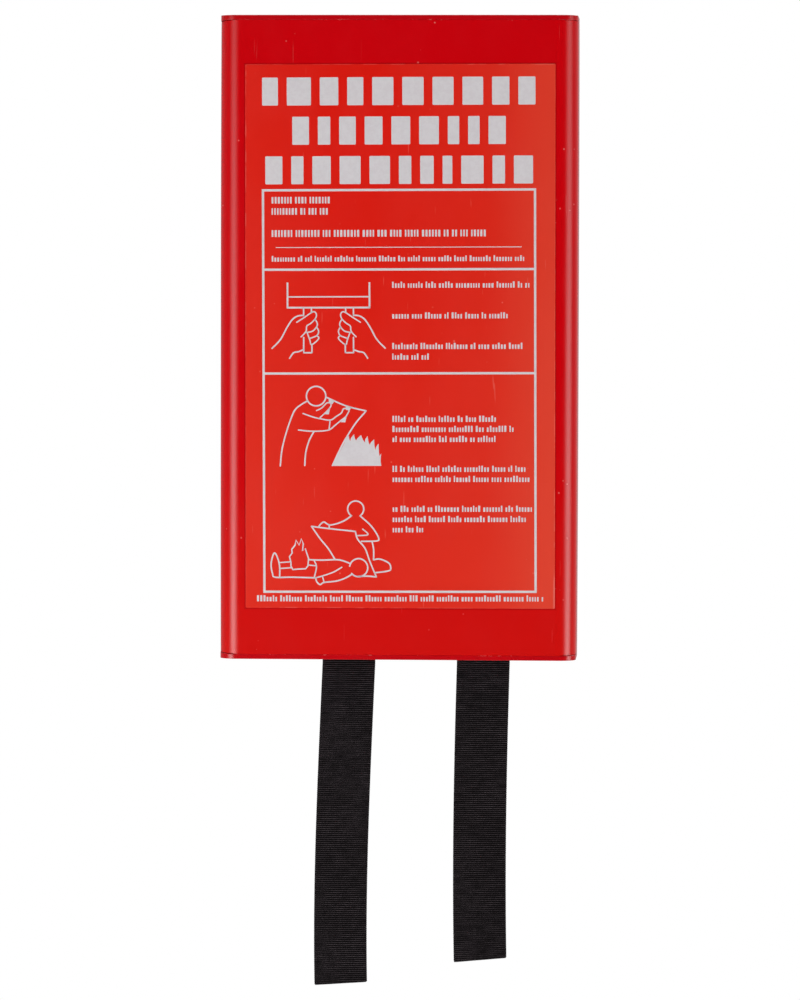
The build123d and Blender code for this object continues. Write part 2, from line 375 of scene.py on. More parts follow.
def webbing_body(across):
    """The webbing's half thickness between its ribs, and the share of it that its rounded selvedges leave."""
    rounding = math.sqrt(max(0.0, 1 - abs(across) ** 14))
    thicker_edge = 0.1 * smooth_step((abs(across) - 0.8) / 0.12)
    return STRAP_HALF_THICK * (0.82 + thicker_edge) * rounding, rounding


def make_strap(side):
    """One strap from its sewn end to its cut end, with the webbing's ribs across its front and back."""
    sewn, tail = (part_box(node) for node in STRAP_BLOCKS[side])
    centre = (sewn[0][0] + sewn[1][0]) / 2
    top, hinge, end = sewn[1][2], HINGE_Z[side], tail[0][2]
    half = STRAP_WIDTH / 2
    rows = int((top - end) / RIB_PITCH * ROWS_PER_RIB)
    rings, heights = [], []
    for row in range(rows + 1):
        z = top + (end - top) * row / rows
        drop = max(0.0, hinge - z)
        x0 = centre + strap_drift(side, drop / (hinge - end))
        y0 = STRAP_Y + strap_sway(side, drop)
        ring = []
        for across, face in strap_section():
            height = rib_height(side, row, z, across, face)
            heights.append(height)
            body, rounding = webbing_body(across)
            loops = 0.06 * MM * math.sin(2 * math.pi * row / ROWS_PER_RIB) if face == 0 else 0.0
            ring.append((x0 + across * half * 1.004 + loops * across,
                         y0 - face * (body + RIB_HEIGHT * height * rounding), z))
        rings.append(ring)
    strap = stack(side + "_strap", rings)
    strap.data.attributes.new("rib_height", "FLOAT", "POINT").data.foreach_set("value", heights)
    cut_strap_end(strap, centre + strap_drift(side, 1.0), end, half, END_SKEW[side])
    return strap


def cut_strap_end(strap, x, z, half, skew):
    """Cuts the strap's end a little askew and takes its two corners off."""
    bm = bmesh.new()
    bm.from_mesh(strap.data)
    slope = skew / (2 * half)
    level = Vector((slope, 0, -1)).normalized()
    cuts = [(Vector((x, 0, z + skew / 2)), level)]
    aside, up = 0.35 * MM, 0.05 * MM
    for turn in (-1, 1):
        corner = Vector((x + turn * half, 0, z + skew / 2 + slope * turn * half))
        slanting = (level + Vector((turn * 1.2, 0, 0))).normalized()
        cuts.append((corner + Vector((-turn * aside, 0, up)), slanting))
    for point, outward in cuts:
        geometry = bm.verts[:] + bm.edges[:] + bm.faces[:]
        cut = bmesh.ops.bisect_plane(bm, geom=geometry, plane_co=point, plane_no=outward, clear_outer=True)
        edges = [e for e in cut["geom_cut"] if isinstance(e, bmesh.types.BMEdge)]
        bmesh.ops.holes_fill(bm, edges=edges, sides=0)
    bmesh.ops.recalc_face_normals(bm, faces=bm.faces)
    bm.to_mesh(strap.data)
    bm.free()


# ---- Folded blanket ----

CLOTH_THICKNESS = 0.42 * MM
STACKS = 5
LAYERS = 8
PACK_FRONT_ROOM, PACK_LOW_ROOM, PACK_HIGH_ROOM = 1.0 * MM, 0.6 * MM, 1.2 * MM
UNEVEN_FOLDS = 0.7 * MM
STACK_DEPTH = (PACK_HIGH.y - PACK_LOW.y - PACK_FRONT_ROOM) / STACKS
LAYER_PITCH = STACK_DEPTH / LAYERS


def fold_across():
    """(x, q) along the cloth from its left to its right side edge. q is the depth within a stack of layers.

    The middle of the cloth lies flat, and each half zigzags in layers of half the pack's width.
    """
    outer, inner = PACK_HIGH.x - 1.0 * MM, 1.1 * MM
    bend = LAYER_PITCH / 2

    def fold_x(layer, at_outer):
        uneven = UNEVEN_FOLDS * abs(math.sin(layer * 2.4 + 1))
        return outer - bend - uneven if at_outer else inner + bend + uneven * 0.5

    half = [(0.0, bend)]
    for layer in range(LAYERS):
        q = (layer + 0.5) * LAYER_PITCH
        going_out = layer % 2 == 0
        first = 0.0 if layer == 0 else fold_x(layer, not going_out)
        last = fold_x(layer, going_out)
        half += [(first + (last - first) * i / 5, q) for i in range(1, 6)]
        if layer < LAYERS - 1:
            turn = 1 if going_out else -1
            for angle in (math.pi * i / 5 for i in range(1, 5)):
                half.append((last + turn * bend * math.sin(angle), q + bend * (1 - math.cos(angle))))
            half.append((fold_x(layer + 1, going_out), q + LAYER_PITCH))
    return [(-x, q) for x, q in reversed(half[1:])] + half


def fold_down():
    """(height, stack, turn) down the cloth from its leading hem, where turn is a fold's angle or None."""
    rows = []
    for stack_number in range(STACKS):
        upward = stack_number % 2 == 0
        for i in range(13):
            share = i / 12
            rows.append((share if upward else 1 - share, stack_number, None))
        if stack_number < STACKS - 1:
            for i in range(1, 8):
                rows.append((1.0 if upward else 0.0, stack_number, math.pi * i / 8))
    return rows


def blanket_point(x, q, height, stack_number, turn):
    """Where a point of the cloth lies in the pack."""
    low, high = PACK_LOW.z + STACK_DEPTH + PACK_LOW_ROOM, PACK_HIGH.z - STACK_DEPTH - PACK_HIGH_ROOM
    upward = stack_number % 2 == 0
    if stack_number == 0:
        low = PACK_LOW.z + PACK_LOW_ROOM + 0.25 * MM * math.sin(q / LAYER_PITCH * 2.1)
    if stack_number == STACKS - 1 and turn is None:
        high = PACK_HIGH.z - 2.0 * MM
    z = low + (high - low) * height
    depth = stack_number * STACK_DEPTH + (STACK_DEPTH - q if upward else q)
    if turn is not None:
        border = (stack_number + 1) * STACK_DEPTH
        radius = q if upward else STACK_DEPTH - q
        depth = border - radius * math.cos(turn)
        z += (1 if upward else -1) * radius * math.sin(turn)
    y = PACK_LOW.y + PACK_FRONT_ROOM + depth
    drift = ripple(z * 22, y * 90, 4.2)
    y += 0.16 * MM * ripple(x * 38, z * 26, stack_number * 3.7 + q * 260)
    z += 0.5 * MM * ripple(x * 30, y * 120, 1.7)
    return (x + 0.6 * MM * drift * x / PACK_HIGH.x, y, z)


def store_cloth_place(piece, places):
    """Stores each point's place on the flat cloth, which the weave follows."""
    attribute = piece.data.attributes.new("cloth_place", "FLOAT_VECTOR", "POINT")
    attribute.data.foreach_set("vector", [value for place in places for value in place])


def mark_cloth(blanket, points, width):
    """Works out each point's place on the flat cloth, in metres across and down it."""
    rows = len(points) // width
    across, down = [0.0], [0.0]
    for c in range(1, width):
        across.append(across[-1] + math.dist(points[c], points[c - 1]))
    for r in range(1, rows):
        down.append(down[-1] + math.dist(points[r * width], points[(r - 1) * width]))
    store_cloth_place(blanket, [(across[c], down[r], 0.0) for r in range(rows) for c in range(width)])


def make_blanket():
    """The whole cloth in its pack: one sheet, folded across and then down, and given its thickness."""
    across, down = fold_across(), fold_down()
    points = [blanket_point(x, q, *row) for row in down for x, q in across]
    width = len(across)
    faces = [(r * width + c, r * width + c + 1, (r + 1) * width + c + 1, (r + 1) * width + c)
             for r in range(len(down) - 1) for c in range(width - 1)]
    blanket = mesh_object("blanket_cloth", points, faces)
    mark_cloth(blanket, points, width)
    thick = blanket.modifiers.new("cloth", "SOLIDIFY")
    thick.thickness = CLOTH_THICKNESS
    thick.offset = 0
    thick.use_even_offset = False
    apply_modifiers(blanket)
    return blanket


HEM_WIDTH = 12 * MM
HEM_THICKNESS = 0.9 * MM
# Places across a hem and how high it stands there, as shares of its width and thickness
HEM_PROFILE = ((0, 0.0), (0.015, 0.7), (0.06, 1.0), (0.5, 1.05), (0.94, 1.0), (0.985, 0.7), (1, 0.0))


def hem_strip(name, low, high, steps):
    """A turned-over hem: a thin band on the pack's front with soft edges, low and high as (x, z)."""
    back = PACK_LOW.y + PACK_FRONT_ROOM + 0.12 * MM
    width, height = high[0] - low[0], high[1] - low[1]
    rings = []
    for i in range(steps + 1):
        share, ring = i / steps, []
        for side, rise in HEM_PROFILE:
            wave = 0.05 * MM * math.sin(share * 61 + side * 5)
            right, up = (side, share) if height > width else (share, side)
            y = back - rise * HEM_THICKNESS - wave * rise
            ring.append((low[0] + width * right, y, low[1] + height * up))
        rings.append(ring)
    return stack(name, rings)


def make_hems():
    """The leading hem and the two side hems, which meet at the pack's middle."""
    bottom, corner = PACK_LOW.z + MM, PACK_LOW.z + HEM_WIDTH + MM
    hems = hem_strip("blanket_hem", (-PACK_HIGH.x + 2 * MM, bottom), (PACK_HIGH.x - 2 * MM, corner), 90)
    for side in (-1, 1):
        edges = sorted((side * 1.4 * MM, side * (HEM_WIDTH + 0.8 * MM)))
        upright = hem_strip("side_hem", (edges[0], corner - MM), (edges[1], PACK_HIGH.z - 10 * MM), 120)
        combine(hems, upright, "UNION")
    store_cloth_place(hems, [(v.co.x, v.co.z - v.co.y, 0.0) for v in hems.data.vertices])
    return hems


# A stitch's length, the gap after it, its thread's radius and how high it stands
BOX_STITCH = (2.3 * MM, 0.6 * MM, 0.26 * MM, 0.22 * MM)
HEM_STITCH = (2.8 * MM, 0.7 * MM, 0.2 * MM, 0.16 * MM)


def stitch(points, faces, a, b, radius, lift):
    """Adds one stitch from a to b: a short round thread that dips into the cloth at both ends."""
    outward = Vector((0, -1, 0))
    side = (b - a).normalized().cross(outward).normalized()
    rings, sides = 7, 6
    faces.extend(ring_faces(rings, sides, first=len(points)))
    for i in range(rings):
        share = i / (rings - 1)
        centre = a.lerp(b, share) + outward * (lift * math.sin(math.pi * share) ** 0.6 - radius * 0.6)
        fat = radius * (0.8 + 0.2 * math.sin(math.pi * share))
        for k in range(sides):
            angle = 2 * math.pi * k / sides
            points.append(centre + side * fat * math.cos(angle) + outward * fat * math.sin(angle))


def stitch_line(points, faces, a, b, kind):
    """A row of stitches from a to b on a face that looks towards -Y."""
    length, gap, radius, lift = kind
    a, b = Vector(a), Vector(b)
    count = max(1, round((b - a).length / (length + gap)))
    pitch = (b - a) / count
    thread_length = pitch * (length / (length + gap))
    for i in range(count):
        start = a + pitch * i
        stitch(points, faces, start, start + thread_length, radius, lift)


def make_box_seam(side):
    """The box seam with its cross that holds a strap to the blanket."""
    low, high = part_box(side + "_strap_stitching")
    inset, y = BOX_STITCH[2], low[1] + 0.42 * MM
    left, right, bottom, top = low[0] + inset, high[0] - inset, low[2] + inset, high[2] - inset
    points, faces = [], []
    corners = [(left, y, bottom), (right, y, bottom), (right, y, top), (left, y, top)]
    for first, last in ((0, 1), (1, 2), (2, 3), (3, 0), (0, 2), (1, 3)):
        stitch_line(points, faces, corners[first], corners[last], BOX_STITCH)
    return mesh_object(side + "_strap_seam", points, faces)


def make_hem_stitches():
    """Rows along the leading hem, where no strap covers it, and down both side hems in the pack's middle."""
    points, faces = [], []
    y, row_z, upright_x = PACK_LOW.y + 0.05 * MM, PACK_LOW.z + 10.4 * MM, 11.2 * MM
    straps = [(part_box(sewn)[0][0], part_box(sewn)[1][0]) for sewn, _ in STRAP_BLOCKS.values()]
    for side in (-1, 1):
        spans = [sorted((side * 2.5 * MM, side * (PACK_HIGH.x - 3 * MM)))]
        for a, b in straps:
            spans = [part for low, high in spans for part in ([low, min(high, a)], [max(low, b), high])
                     if part[1] - part[0] > 3 * MM]
        for a, b in spans:
            stitch_line(points, faces, (a, y, row_z), (b, y, row_z), HEM_STITCH)
        low, high = ((side * upright_x, y, z) for z in (row_z + 3 * MM, PACK_HIGH.z - 12 * MM))
        stitch_line(points, faces, low, high, HEM_STITCH)
    return mesh_object("hem_stitches", points, faces)


# ---- Front label and its print ----

LABEL_WIDTH = LABEL_HIGH.x - LABEL_LOW.x
LABEL_HEIGHT = LABEL_HIGH.z - LABEL_LOW.z
FILM = LABEL_HIGH.y - LABEL_LOW.y
INK = 0.025 * MM
LABEL_CENTRE = (LABEL_LOW + LABEL_HIGH) / 2
LABEL_TILT = math.radians(0.14)
PRINT_TILT = math.radians(0.30)
PEN, FINE_PEN, THIN_PEN = 0.70, 0.62, 0.60
BODY_TEXT = 2.9


def crooked(x, z, tilt):
    """A place on the label after it was printed and stuck on very slightly askew."""
    dx, dz = x - LABEL_CENTRE.x, z - LABEL_CENTRE.z
    return (LABEL_CENTRE.x + dx * math.cos(tilt) - dz * math.sin(tilt),
            LABEL_CENTRE.z + dx * math.sin(tilt) + dz * math.cos(tilt))


def film_front(x, z):
    return SLEEVE_LOW.y - front_bow(x, z) - FILM


def rounded_rectangle(centre_x, centre_z, half_x, half_z, corner, steps=4):
    """An outline with points along its sides as well, counter-clockwise seen from the front."""
    points = []
    for turn, (sx, sz) in enumerate(((1, -1), (1, 1), (-1, 1), (-1, -1))):
        centre = (centre_x + sx * (half_x - corner), centre_z + sz * (half_z - corner))
        points += arc(centre, corner, 90 * turn - 90, 90 * turn, steps)
        ahead = math.radians(90 * turn)
        x, z = points[-1]
        half, runs = (half_z, 26) if turn % 2 == 0 else (half_x, 16)
        for run in ((2 * half - 2 * corner) * i / runs for i in range(1, runs)):
            points.append((x - run * math.sin(ahead), z + run * math.cos(ahead)))
    return points


def make_label():
    """The printed film, which follows the case's bowed front and has lifted a little at its edges."""
    half_x, half_z = LABEL_WIDTH / 2, LABEL_HEIGHT / 2
    rings = []
    # Millimetres in from the edge, and how much of the film's thickness stands there
    profile = [(0.0, 0.05), (0.0, 0.8), (0.06, 0.97), (0.2, 1.0), (1.2, 1.0), (3.0, 1.0)]
    profile += [(3.0 + 7.4 * k, 1.0) for k in range(1, 10)]
    for inset_mm, level in profile:
        inset = inset_mm * MM
        ring = []
        outline = rounded_rectangle(LABEL_CENTRE.x, LABEL_CENTRE.z, half_x - inset, half_z - inset, 0.5 * MM)
        for x, z in (crooked(*place, LABEL_TILT) for place in outline):
            lifted = 0.0
            if inset_mm < 2:
                lifted = 0.05 * MM * max(0.0, ripple(x * 60, z * 60, 7.7)) * (1 - inset_mm / 2)
            ring.append((x, SLEEVE_LOW.y - front_bow(x, z) - FILM * level - lifted, z))
        rings.append(ring)
    return stack("label_film", rings)


class Print:
    """Raised ink on the label. Places are in millimetres right of and below the label's upper left corner."""

    def __init__(self):
        self.points, self.faces = [], []

    def at(self, x, y, level):
        """The point of the ink's underside, just inside the film, or of its face if level is 1."""
        sunk = 0.01 * MM
        wx, wz = crooked(LABEL_LOW.x + x * MM, LABEL_HIGH.z - y * MM, PRINT_TILT)
        return (wx, film_front(wx, wz) + sunk - level * (INK + sunk), wz)

    def line(self, path, width, rounded=True, closed=False):
        """A stroke of even width along a path of points."""
        rings = []
        count = len(path)
        for i, (x, y) in enumerate(path):
            before = path[(i - 1) % count] if closed or i > 0 else path[0]
            after = path[(i + 1) % count] if closed or i < count - 1 else path[-1]
            along = Vector((after[0] - before[0], after[1] - before[1])).normalized()
            rings.append((Vector((x, y)), along, width / 2))
        if rounded and not closed:
            angles = [math.radians(turn) for turn in (75, 45, 20)]
            tips = [[(centre + sign * (along * math.sin(a) * width / 2), along, math.cos(a) * width / 2)
                     for a in angles] for (centre, along, _), sign in ((rings[0], -1), (rings[-1], 1))]
            rings = tips[0] + rings + tips[1][::-1]
        self.faces += ring_faces(len(rings), 4, closed, len(self.points))
        for centre, along, half in rings:
            side = Vector((-along.y, along.x)) * half
            for sign, level in ((-1, 0), (1, 0), (1, 1), (-1, 1)):
                self.points.append(self.at(centre.x + sign * side.x, centre.y + sign * side.y, level))

    def area(self, outline):
        """A solid patch inside an outline."""
        first, count = len(self.points), len(outline)
        for level in (0, 1):
            self.points += [self.at(x, y, level) for x, y in outline]
        for i in range(count):
            j = (i + 1) % count
            self.faces.append((first + i, first + j, first + count + j, first + count + i))
        flat = [Vector((x, y, 0)) for x, y in outline]
        for triangle in tessellate_polygon([flat]):
            self.faces.append(tuple(first + i for i in triangle))
            self.faces.append(tuple(first + count + i for i in triangle))

    def block(self, left, right, top, bottom, corner=0.15):
        """A plain block with slightly rounded corners."""
        outline = []
        for turn, (x, y) in enumerate(((right, top), (right, bottom), (left, bottom), (left, top))):
            cx = x - corner if x == right else x + corner
            cy = y - corner if y == bottom else y + corner
            outline += arc((cx, cy), corner, 90 * turn - 90, 90 * turn, 3)
        self.area(outline)

    def ruled(self, a, b, width):
        """A straight line with square ends."""
        steps = max(2, round(math.dist(a, b) / 8))
        run_x, run_y = b[0] - a[0], b[1] - a[1]
        path = [(a[0] + run_x * i / steps, a[1] + run_y * i / steps) for i in range(steps + 1)]
        self.line(path, width, rounded=False)

    def curve(self, *knots, width=PEN):
        self.line(smooth_path(knots), width)

    def circle(self, x, y, radius, start=0, end=360):
        path = arc((x, y), radius, start, end, 40)
        whole = end - start == 360
        self.line(path[:-1] if whole else path, PEN, closed=whole)


def smooth_path(knots, steps=8):
    """A smooth line through all of the knots."""
    ends = [knots[0], *knots, knots[-1]]
    path = []
    for four in zip(ends, ends[1:], ends[2:], ends[3:]):
        for t in (i / steps for i in range(steps)):
            path.append(tuple(0.5 * (2 * b + (c - a) * t + (2 * a - 5 * b + 4 * c - d) * t ** 2
                                     + (3 * b - a - 3 * c + d) * t ** 3) for a, b, c, d in zip(*four)))
    return path + [knots[-1]]


def title_row(ink, left, right, top, height, blocks, rng):
    """A row of plain solid blocks in place of a title."""
    shares = [rng.uniform(0.55, 1.3) for _ in range(blocks)]
    gap = 4.2
    unit = (right - left - gap * (blocks - 1)) / sum(shares)
    x = left
    for share in shares:
        ink.block(x, x + unit * share, top, top + height, 0.45)
        x += unit * share + gap


def text_line(ink, left, middle, width, height, capitals, rng):
    """Words of small plain blocks in place of a line of text."""
    base, small, gap, space = middle + height / 2, height * 0.72, 0.56, 0.9
    x, end = left, left + width
    while x < end - 1:
        letters = rng.randint(2, 9)
        for letter in range(letters):
            wide = rng.uniform(0.60, 1.0) * height / BODY_TEXT
            if x + wide > end:
                break
            full = capitals or letter == 0 and rng.random() < 0.3 or rng.random() < 0.22
            ink.block(x, x + wide, base - (height if full else small), base, 0.12)
            x += wide + gap * height / BODY_TEXT
        x += space * height / BODY_TEXT


def fire_mound(left, right, base, height, tongues, rng):
    """The outline of a fire to the right of a sheet's slanting edge, with small tongues over its top."""
    centre = left + (right - left) * 0.46
    span_x, span_y = (right - centre) * 0.97, height * 0.76

    def rim(turn):
        angle = math.radians(turn)
        return Vector((centre + span_x * math.cos(angle), base - span_y * math.sin(angle)))

    steps = [rng.uniform(0.6, 1.4) for _ in range(tongues)]
    turn, outline = 114, [(left, base)]
    for step in steps:
        start = rim(turn)
        turn -= 108 * step / sum(steps)
        end = rim(turn)
        rise = height * rng.uniform(0.12, 0.25) + abs(end.y - start.y) * 0.45
        tip = start.lerp(end, rng.uniform(0.4, 0.75)) + Vector((rng.uniform(0.1, 0.7), -rise))
        outline += smooth_path((start, start.lerp(tip, 0.5) + Vector((-0.45, 0.1)), tip), 4)[:-1]
        outline += smooth_path((tip, end.lerp(tip, 0.45) + Vector((-0.15, 0.25)), end), 4)[:-1]
    return [tuple(p) for p in outline] + [(right - 0.2, base)]


def draw_pulling_hands(ink):
    """The case's lower end with its two straps, and a hand round each."""
    middle, case_width, seam_width = 39.4, 0.85, 0.65
    for side in (-1, 1):
        def trace(*places, width=PEN, side=side):
            ink.curve(*((middle + side * x, y) for x, y in places), width=width)
        ink.ruled((middle + side * 19.4, 102.7), (middle + side * 19.4, 114.9), case_width)
        trace((11.8, 114.7), (11.8, 118.4))
        trace((8.1, 114.7), (8.1, 116.9))
        trace((11.8, 128.7), (11.8, 135.9))
        trace((7.9, 132.0), (7.9, 135.9))
        trace((11.8, 135.9), (7.9, 135.9))
        trace((26.8, 133.8), (22.8, 129.6), (19.7, 124.0), (17.2, 120.3), (14.7, 118.6), (11.8, 118.2))
        trace((15.1, 121.5), (11.3, 119.1), (8.2, 117.0), (6.6, 116.6), (5.7, 118.0), (6.4, 120.0),
              (8.4, 122.0), (10.3, 123.3), (10.7, 125.8), (13.0, 128.4), width=FINE_PEN)
        trace((6.4, 120.0), (5.3, 122.0), (5.7, 123.7), (7.6, 125.7), (10.4, 126.3), width=FINE_PEN)
        trace((5.7, 123.7), (4.7, 125.7), (5.6, 127.8), (8.8, 129.1), width=FINE_PEN)
        trace((5.6, 127.8), (4.6, 128.9), (6.0, 130.7), (8.2, 132.0), (8.9, 129.8), (10.2, 126.3),
              width=FINE_PEN)
        trace((18.5, 138.5), (16.6, 135.9), (14.3, 135.4), (11.8, 134.4))
    ink.ruled((middle - 19.2, 109.5), (middle + 19.2, 109.5), seam_width)
    ink.ruled((middle - 19.8, 114.6), (middle + 19.8, 114.6), case_width)


def draw_covering_flames(ink, rng):
    """A standing figure with a plain round head that lays a sheet over a fire."""
    ink.circle(33.4, 156.4, 4.6)
    ink.curve((29.2, 158.7), (26.6, 160.2), (23.8, 162.4), (22.0, 165.6), (19.1, 173.9), (17.1, 181.9),
              (16.3, 189.4))
    ink.curve((32.3, 173.2), (30.0, 177.5), (28.4, 183.0), (27.9, 189.2))
    ink.curve((27.2, 164.6), (32.0, 166.3), (36.0, 167.2), (40.2, 167.7), (42.9, 166.0), (45.3, 164.4),
              (46.3, 162.5), (47.7, 162.2), width=FINE_PEN)
    ink.curve((25.0, 172.4), (31.6, 173.0), (39.0, 172.5), (42.3, 170.2), (45.5, 167.6), (47.5, 166.0),
              (49.0, 163.4), width=FINE_PEN)
    ink.curve((40.0, 168.0), (39.5, 172.1), width=THIN_PEN)
    ink.curve((33.6, 163.2), (36.0, 162.0), (38.4, 159.7), (39.8, 159.6), width=THIN_PEN)
    ink.curve((35.0, 166.8), (38.4, 163.6), (40.3, 161.3), (40.4, 159.8), width=THIN_PEN)
    ink.curve((38.0, 156.8), (47.5, 161.0), (57.1, 163.4))
    ink.curve((57.1, 163.4), (52.7, 168.4), (49.5, 173.1), (45.9, 179.1), (41.0, 189.2))
    for x, y in ((37.1, 161.8), (44.9, 165.6)):
        ink.area([(x, y + 3.1), (x + 3.0, y), (x + 2.3, y + 3.2)])
    for x, y in ((39.4, 157.8), (47.4, 160.9)):
        ink.area([(x, y), (x + 2.8, y + 0.7), (x + 1.7, y + 2.4), (x, y + 1.9)])
    ink.area(fire_mound(41.0, 64.4, 189.4, 15.8, 7, rng))


def draw_covering_person(ink):
    """A kneeling figure that lays a sheet over a lying one, both with plain round heads."""
    ink.circle(52.0, 209.8, 3.8, start=-238, end=58)
    ink.curve((50.0, 213.0), (46.4, 215.4), (42.4, 216.9), (39.4, 217.3), (36.9, 216.0), (35.2, 217.1),
              (34.5, 218.2))
    ink.curve((54.0, 213.0), (58.2, 216.7), (60.8, 219.8), (62.8, 223.5), (61.9, 224.9), (54.7, 225.1))
    ink.curve((55.3, 219.3), (57.8, 221.9), (52.9, 222.4), width=THIN_PEN)
    ink.curve((39.4, 217.3), (39.4, 219.1), width=THIN_PEN)
    ink.curve((31.0, 218.0), (39.4, 219.1), (51.8, 220.4))
    ink.curve((31.0, 218.0), (35.0, 223.7), (38.9, 228.5), (42.0, 233.5))
    ink.curve((51.8, 220.4), (52.9, 224.1), (56.4, 228.5), (58.6, 234.6), (61.7, 242.0))
    ink.curve((61.7, 242.0), (57.6, 241.6), (52.9, 241.8))
    ink.curve((59.7, 225.2), (60.4, 228.9), (60.4, 233.9))
    ink.curve((60.4, 233.9), (63.4, 233.5), (67.6, 235.4), (68.5, 237.8), (67.4, 239.1), (61.2, 240.0))
    ink.curve((15.9, 235.2), (21.0, 234.8), width=THIN_PEN)
    ink.curve((15.9, 238.0), (21.2, 237.6), width=THIN_PEN)
    ink.curve((15.8, 242.0), (15.8, 236.8), (14.8, 232.8), (13.4, 230.6), (12.2, 233.3), (11.8, 236.8),
              (12.4, 240.2), (13.7, 242.1), (21.8, 242.1), (33.0, 242.4))
    ink.curve((32.3, 234.4), (33.3, 237.2), (32.3, 242.0), width=FINE_PEN)
    ink.curve((29.3, 236.3), (33.0, 236.7), width=THIN_PEN)
    ink.curve((29.5, 233.8), (35.8, 234.0), (42.4, 233.8), (45.5, 234.2), (48.8, 235.4))
    ink.circle(53.3, 237.6, 4.3, start=-170, end=140)
    ink.curve((50.1, 240.7), (47.2, 242.4), (42.9, 243.9), (36.9, 244.6), (35.0, 245.6), (33.4, 244.2),
              (33.0, 242.4))
    ink.curve((33.0, 242.4), (36.1, 241.5), (41.1, 239.8), (45.3, 237.4), width=FINE_PEN)
    ink.curve((36.1, 241.5), (36.9, 244.6), width=THIN_PEN)
    flame = ((22.1, 238.5), (21.2, 236.8), (21.2, 235.0), (20.5, 232.4), (21.8, 230.6), (21.6, 228.9),
             (23.2, 226.9), (23.6, 224.5), (25.1, 226.9), (26.2, 223.9), (27.1, 226.3), (26.7, 229.6),
             (28.0, 228.5), (28.8, 230.9), (29.6, 233.3), (29.2, 236.8), (28.2, 238.1), (25.3, 238.2),
             (22.1, 238.5))
    ink.line(flame, 0.65)


def make_print():
    """Generic marks in place of the instructions: blocks for words, ruled frames and plain pictograms."""
    ink, rng = Print(), random.Random(18)
    title_height, hairline = 13.2, 0.36
    for left, right, top, blocks in ((8.3, 137.3, 6.1, 10), (22.5, 123.3, 24.6, 9), (9.7, 136.1, 43.2, 11)):
        title_row(ink, left, right, top, title_height, blocks, rng)
    left, right, top, bottom, rule = 8.55, 137.0, 59.2, 249.0, 1.1
    for x in (left, right):
        ink.ruled((x, top - rule / 2), (x, bottom + rule / 2), rule)
    for y in (top, 96.65, 145.7, bottom):
        ink.ruled((left + rule / 2, y), (right - rule / 2, y), rule)
    ink.ruled((14.5, 86.2), (130.7, 86.2), hairline)
    head, column = 12.6, 69.5
    # Left edge, first line's middle, pitch, letters' height, capitals, and each line's length
    paragraphs = (
        (head, 63.9, 5.3, 3.1, True, (28.3, 27.9)),
        (head, 79.6, 0, 3.2, True, (101.5,)),
        (head, 91.5, 0, 2.7, False, (119.9,)),
        (column, 103.9, 0, BODY_TEXT, False, (64.9,)),
        (column, 118.4, 0, BODY_TEXT, False, (54.9,)),
        (column, 132.8, 5.0, BODY_TEXT, False, (62.5, 17.6)),
        (column, 167.2, 4.75, BODY_TEXT, False, (49.8, 57.3, 50.0)),
        (column, 190.8, 4.8, BODY_TEXT, False, (63.9, 65.8)),
        (column, 209.7, 4.85, BODY_TEXT, False, (66.3, 63.4, 15.3)),
        (5.0, 252.1, 0, BODY_TEXT, False, (136.5,)),
    )
    for x, middle, pitch, height, capitals, widths in paragraphs:
        for number, width in enumerate(widths):
            text_line(ink, x, middle + pitch * number, width, height, capitals, rng)
    draw_pulling_hands(ink)
    draw_covering_flames(ink, rng)
    draw_covering_person(ink)
    return mesh_object("label_print", ink.points, ink.faces, smooth=False)


# ---- Materials ----

SLEEVE_REDS = ((0.66, 0, 0.0030), (0.70, 0, 0.0040))
CAP_REDS = ((0.56, 0.0012, 0.0050), (0.60, 0.0018, 0.0065))
# A painted sheen for the sleeve's lower end, a painted shadow along the label's edge, and the pale pink of
# real scratches and scuffs
LOW_SHEEN_RED, EDGE_SHADOW_RED, MARK_PINK = (0.70, 0.0055, 0.0045), (0.40, 0.0008, 0.0030), (0.86, 0.28, 0.24)
# The film's own red, and the lighter red of a painted sheen on it
FILM_RED, PAINTED_SHEEN_RED = (0.795, 0.0049, 0.0), (0.835, 0.0599, 0.0300)
# The pale pink of rubbed wear, and of a painted highlight along a lifted edge
RUBBED_PINK, LIFTED_EDGE_HIGHLIGHT = (0.90, 0.30, 0.24), (0.92, 0.30, 0.26)
INK_GREYS = ((0.705, 0.662, 0.686), (0.735, 0.700, 0.722))
CLOTH_WHITES, CLOTH_GAP = ((0.74, 0.70, 0.60), (0.80, 0.775, 0.70)), (0.46, 0.42, 0.34)
YARN_BLACKS = ((0.0012, 0.0004, 0.0007), (0.0036, 0.0022, 0.0027))
# The grey of a painted highlight on the rib tops, and lint
RIB_HIGHLIGHT_GREY, LINT = (0.066, 0.053, 0.059), (0.20, 0.19, 0.185)
FLOOR_GREYS = ((0.80, 0.80, 0.79), (0.84, 0.84, 0.835))
WEAVE_PITCH = 1.2 * MM


